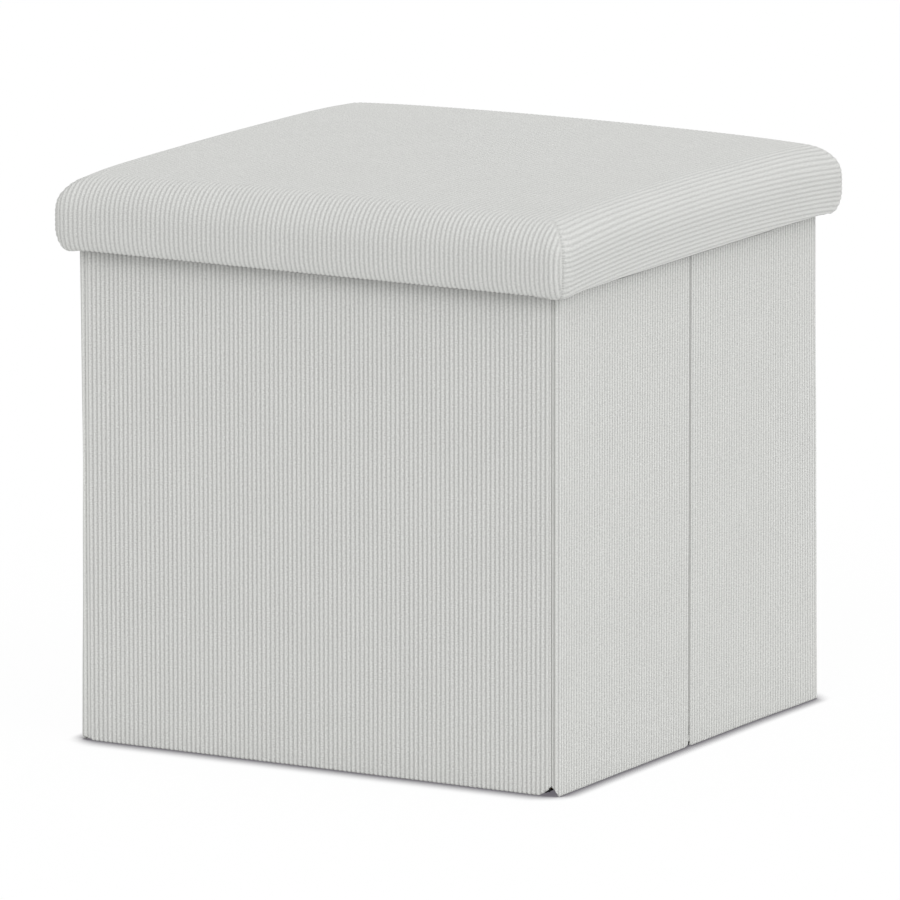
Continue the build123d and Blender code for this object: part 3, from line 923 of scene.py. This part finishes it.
for name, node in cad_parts.items():
    if name.endswith("_wall_board") or name == "base_board":
        setMaterial(node, hardboard)
    elif name == "lid_board" or name.endswith("_rail"):
        setMaterial(node, frameBoard)
    elif name == "lid_staples":
        setMaterial(node, stapleSteel)


# Floor, light and camera, in metres and degrees

studio = {
    "floorSize": 60, "floorBounce": 0.74, "floorShade": 0.06,
    "shadowColour": "6e6b71",
    "shadowReach": (0.023, 0.0118), "reachChange": (0.165, 0.195),  # before the front and beside the sides
    "shadowRange": (0.5, 0.92),  # openness with full shadow and with none
    "ambient": 0.82,
    "front_lamp": {"strength": 0.58, "turn": (53, 0, 10), "angle": 36},
    "side_lamp": {"strength": 0.87, "turn": (72, 0, 85), "angle": 60},
    "eye": (3.9371, -6.8969, 1.7270), "yaw": 29.729, "pitch": 11.025, "roll": -0.046,
    "lens": 494.03, "sensor": 36, "farthest": 200,
}


def seenRays(tree):  # 1 for rays that show the background itself
    path = addNode(tree, "ShaderNodeLightPath")
    mirrored = addNode(tree, "ShaderNodeMath", {"operation": "MAXIMUM"},
                       {0: path.outputs["Is Glossy Ray"], 1: path.outputs["Is Transmission Ray"]})
    return addNode(tree, "ShaderNodeMath", {"operation": "MAXIMUM"},
                   {0: path.outputs["Is Camera Ray"], 1: mirrored.outputs[0]}).outputs[0]


def makeFloor():
    bpy.ops.object.select_all(action="DESELECT")
    bpy.ops.mesh.primitive_plane_add(size=studio["floorSize"], location=(0, 0, 0))
    floor = bpy.context.active_object
    floor.name = "studio_floor"
    # Matt white paint: shown as white with the shadow close to the object, and as pale grey to the light.
    material, tree = newMaterial("matt_white_studio_floor")
    bounce = addNode(tree, "ShaderNodeBsdfDiffuse", {"Color": [studio["floorBounce"]] * 3 + [1]})
    place = addNode(tree, "ShaderNodeTexCoord")
    parts = addNode(tree, "ShaderNodeSeparateXYZ", links={0: place.outputs["Object"]})
    offset = addNode(tree, "ShaderNodeMath", {"operation": "ABSOLUTE"}, {0: parts.outputs["X"]})
    shadowReach = addNode(tree, "ShaderNodeMapRange",
                          {"From Min": studio["reachChange"][0], "From Max": studio["reachChange"][1],
                           "To Min": studio["shadowReach"][0], "To Max": studio["shadowReach"][1]},
                          {"Value": offset.outputs[0]})
    # Painted shadow: near the object the floor's shown colour darkens with ambient occlusion, reaching less
    # far beside the sides.
    near = addNode(tree, "ShaderNodeAmbientOcclusion", {"samples": 16}, {"Distance": shadowReach.outputs[0]})
    contact = addNode(tree, "ShaderNodeValToRGB", links={0: near.outputs["AO"]})
    stops = contact.color_ramp.elements
    stops[0].position, stops[1].position = studio["shadowRange"]
    stops[0].color = linear(studio["shadowColour"])
    stops[1].color = (1, 1, 1, 1)
    glow = addNode(tree, "ShaderNodeEmission", {"Strength": 1.0}, {"Color": contact.outputs["Color"]})
    shown = addNode(tree, "ShaderNodeBsdfDiffuse", {"Color": (1, 1, 1, 1)})
    lit = addNode(tree, "ShaderNodeMixShader", {0: studio["floorShade"]},
                  {1: glow.outputs[0], 2: shown.outputs[0]})
    mixed = addNode(tree, "ShaderNodeMixShader",
                    links={0: seenRays(tree), 1: bounce.outputs[0], 2: lit.outputs[0]})
    addNode(tree, "ShaderNodeOutputMaterial", links={"Surface": mixed.outputs[0]})
    setMaterial(floor, material)


def makeLight():
    world = bpy.data.worlds.new("studio_white")
    world.use_nodes = True
    tree = world.node_tree
    tree.nodes.clear()
    around = addNode(tree, "ShaderNodeBackground", {"Color": (1, 1, 1, 1), "Strength": studio["ambient"]})
    white = addNode(tree, "ShaderNodeBackground", {"Color": (1, 1, 1, 1), "Strength": 1.0})
    mixed = addNode(tree, "ShaderNodeMixShader",
                    links={0: seenRays(tree), 1: around.outputs[0], 2: white.outputs[0]})
    addNode(tree, "ShaderNodeOutputWorld", links={"Surface": mixed.outputs[0]})
    bpy.context.scene.world = world

    for name in ("front_lamp", "side_lamp"):
        bpy.ops.object.light_add(type="SUN", rotation=[math.radians(a) for a in studio[name]["turn"]])
        lamp = bpy.context.active_object
        lamp.name = name
        lamp.data.energy = studio[name]["strength"]
        lamp.data.angle = math.radians(studio[name]["angle"])


def makeCamera():
    bpy.ops.object.camera_add()
    camera = bpy.context.active_object
    camera.name = "photo_camera"
    camera.data.lens = studio["lens"]
    camera.data.sensor_width = studio["sensor"]
    camera.data.clip_end = studio["farthest"]
    turn = (Matrix.Rotation(math.radians(studio["yaw"]), 4, "Z")
            @ Matrix.Rotation(math.radians(90 - studio["pitch"]), 4, "X")
            @ Matrix.Rotation(math.radians(studio["roll"]), 4, "Z"))
    camera.matrix_world = Matrix.Translation(studio["eye"]) @ turn
    bpy.context.scene.camera = camera
    bpy.context.scene.view_settings.view_transform = "Standard"


makeFloor()
makeLight()
makeCamera()
print("studio made")
